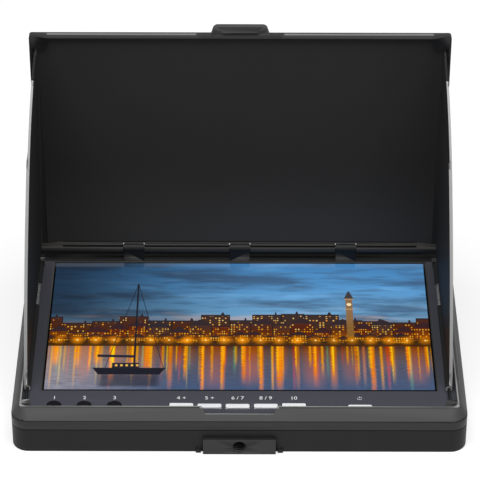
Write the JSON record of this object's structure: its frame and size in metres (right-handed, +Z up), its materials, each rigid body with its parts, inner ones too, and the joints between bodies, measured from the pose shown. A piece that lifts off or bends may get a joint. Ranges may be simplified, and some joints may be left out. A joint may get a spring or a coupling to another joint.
{
  "type": "fpv monitor with sunshade hood",
  "caption": "Flat black portable flight-video monitor, lying on its back, with a hinged lid and sprung side flaps that stand up as a sunshade round its screen.",
  "frame": {"origin": "centre of the case's flat back, on the plane it lies on", "axes": "+Z up out of the screen, +Y towards the lid's hinge and the antenna sockets, +X to the right of the picture"},
  "size_m": [0.1776, 0.1311, 0.1279],
  "materials": {
    "case_black": "fine satin grain",
    "hood_black": "fine satin grain",
    "screen_glass": "clear, lit from behind by the picture",
    "tray_steel": "bare sheet",
    "guide_acrylic": "clear",
    "strip_white": "white strip with yellow lamps",
    "ribbon_amber": "amber film",
    "board_green": "solder mask",
    "chip_black": "moulded",
    "module_steel": "tinned cans",
    "cell_foil": "foil pouch",
    "switch_black": "moulded",
    "lamp_white": "small lamps",
    "window_smoke": "smoked, clear",
    "key_silver": "silvery paint",
    "screw_steel": "blackened and plain",
    "jack_black": "moulded",
    "socket_steel": "pressed sheet",
    "gold_brass": "gold plated",
    "block_zinc": "cast and blackened",
    "lead_grey": "cable jacket",
    "pin_steel": "blackened"
  },
  "bodies": {
    "case": {"rear_case": "case_black", "front_frame": "case_black", "display_glass": "screen_glass", "display_tray": "tray_steel", "light_guide": "guide_acrylic", "light_strip": "strip_white", "display_ribbon": "ribbon_amber", "main_board": "board_green", "button_board": "board_green", "board_chips": "chip_black", "receiver_modules": "module_steel", "battery_cells": "cell_foil", "key_switches": "switch_black", "status_lamps": "lamp_white", "lamp_windows": "window_smoke", "case_screws": "screw_steel", "board_screws": "screw_steel", "button_board_screws": "screw_steel", "tripod_block_screws": "screw_steel", "audio_jacks": "jack_black", "power_jack": "jack_black", "card_socket": "socket_steel", "antenna_sockets": "gold_brass", "antenna_nuts": "gold_brass", "power_jack_pin": "gold_brass", "tripod_block": "block_zinc", "antenna_leads": "lead_grey", "lid_rod": "pin_steel", "flap_pins": "pin_steel", "flap_springs": "pin_steel"},
    "hood_lid": {"lid": "hood_black"},
    "left_flap": {"flap_left": "hood_black"},
    "right_flap": {"flap_right": "hood_black"},
    "key_far_left_cap": {"key_far_left": "key_silver"},
    "key_left_cap": {"key_left": "key_silver"},
    "key_middle_cap": {"key_middle": "key_silver"},
    "key_right_cap": {"key_right": "key_silver"},
    "key_far_right_cap": {"key_far_right": "key_silver"},
    "key_power_cap": {"key_power": "key_silver"}
  },
  "joints": [
    {"name": "lid_hinge", "type": "hinge", "parent": "case", "child": "hood_lid", "pos_m": [0, 0.05, 0.0203], "axis": [-1, 0, 0], "range_deg": [0, 30]},
    {"name": "left_flap_hinge", "type": "hinge", "parent": "case", "child": "left_flap", "pos_m": [-0.0833, 0, 0.0162], "axis": [0, 1, 0], "range_deg": [0, 88.55], "stiffness_Nm_per_rad": 0.004, "springref_deg": -143.24},
    {"name": "right_flap_hinge", "type": "hinge", "parent": "case", "child": "right_flap", "pos_m": [0.0823, 0, 0.0162], "axis": [0, -1, 0], "range_deg": [0, 87.6], "stiffness_Nm_per_rad": 0.004, "springref_deg": -143.24},
    {"name": "key_far_left_press", "type": "slide", "parent": "case", "child": "key_far_left_cap", "axis": [0, 0, -1], "range_m": [0, 0.0005], "stiffness_N_per_m": 1500, "springref_m": -0.0004},
    {"name": "key_left_press", "type": "slide", "parent": "case", "child": "key_left_cap", "axis": [0, 0, -1], "range_m": [0, 0.0005], "stiffness_N_per_m": 1500, "springref_m": -0.0004},
    {"name": "key_middle_press", "type": "slide", "parent": "case", "child": "key_middle_cap", "axis": [0, 0, -1], "range_m": [0, 0.0005], "stiffness_N_per_m": 1500, "springref_m": -0.0004},
    {"name": "key_right_press", "type": "slide", "parent": "case", "child": "key_right_cap", "axis": [0, 0, -1], "range_m": [0, 0.0005], "stiffness_N_per_m": 1500, "springref_m": -0.0004},
    {"name": "key_far_right_press", "type": "slide", "parent": "case", "child": "key_far_right_cap", "axis": [0, 0, -1], "range_m": [0, 0.0005], "stiffness_N_per_m": 1500, "springref_m": -0.0004},
    {"name": "key_power_press", "type": "slide", "parent": "case", "child": "key_power_cap", "axis": [0, 0, -1], "range_m": [0, 0.0005], "stiffness_N_per_m": 1500, "springref_m": -0.0004}
  ]
}
